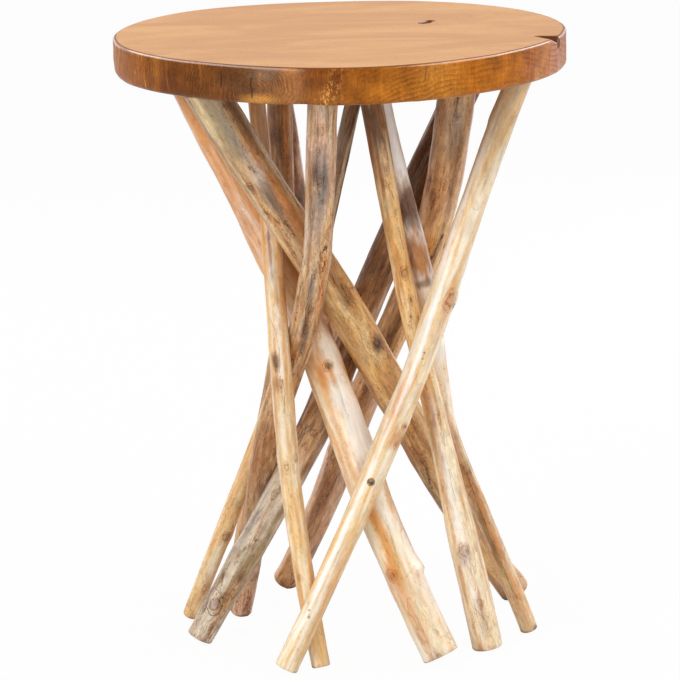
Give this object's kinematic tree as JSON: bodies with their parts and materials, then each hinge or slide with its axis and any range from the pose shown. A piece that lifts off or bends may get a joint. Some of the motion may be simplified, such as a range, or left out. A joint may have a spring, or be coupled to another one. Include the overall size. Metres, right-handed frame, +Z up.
{
  "type": "side table",
  "caption": "Round side table with a thick natural-edge wood slab on crossing branch legs that splay out to the floor.",
  "frame": {"origin": "on the floor, under the middle of the slab's outline", "axes": "+Z up from the floor to the slab, +X to the right and +Y to the back seen from the front of the table"},
  "size_m": [0.444, 0.4498, 0.61],
  "materials": {
    "slab_wood": "clear lacquer over solid hardwood",
    "cream_branch": "peeled branch, smooth satin",
    "honey_branch": "peeled branch, smooth satin",
    "orange_branch": "peeled branch, smooth satin",
    "brown_branch": "peeled branch, smooth satin",
    "grey_branch": "peeled branch, weathered and smoothed",
    "dowel_wood": "plain glued dowel",
    "plug_wood": "dark plug, sanded flush",
    "screw_steel": "zinc plated"
  },
  "bodies": {
    "root": {"slab": "slab_wood", "leg_long_front": "cream_branch", "leg_honey_right": "honey_branch", "leg_slim_right": "honey_branch", "leg_big_diagonal": "brown_branch", "leg_grey_centre": "grey_branch", "leg_thin_left": "cream_branch", "leg_orange_front": "orange_branch", "leg_grey_left": "grey_branch", "leg_red_right": "brown_branch", "leg_pale_left": "honey_branch", "leg_back_left": "brown_branch", "leg_back_middle": "brown_branch", "top_dowels": "dowel_wood", "crossing_screws": "screw_steel", "screw_plugs": "plug_wood"}
  },
  "joints": []
}
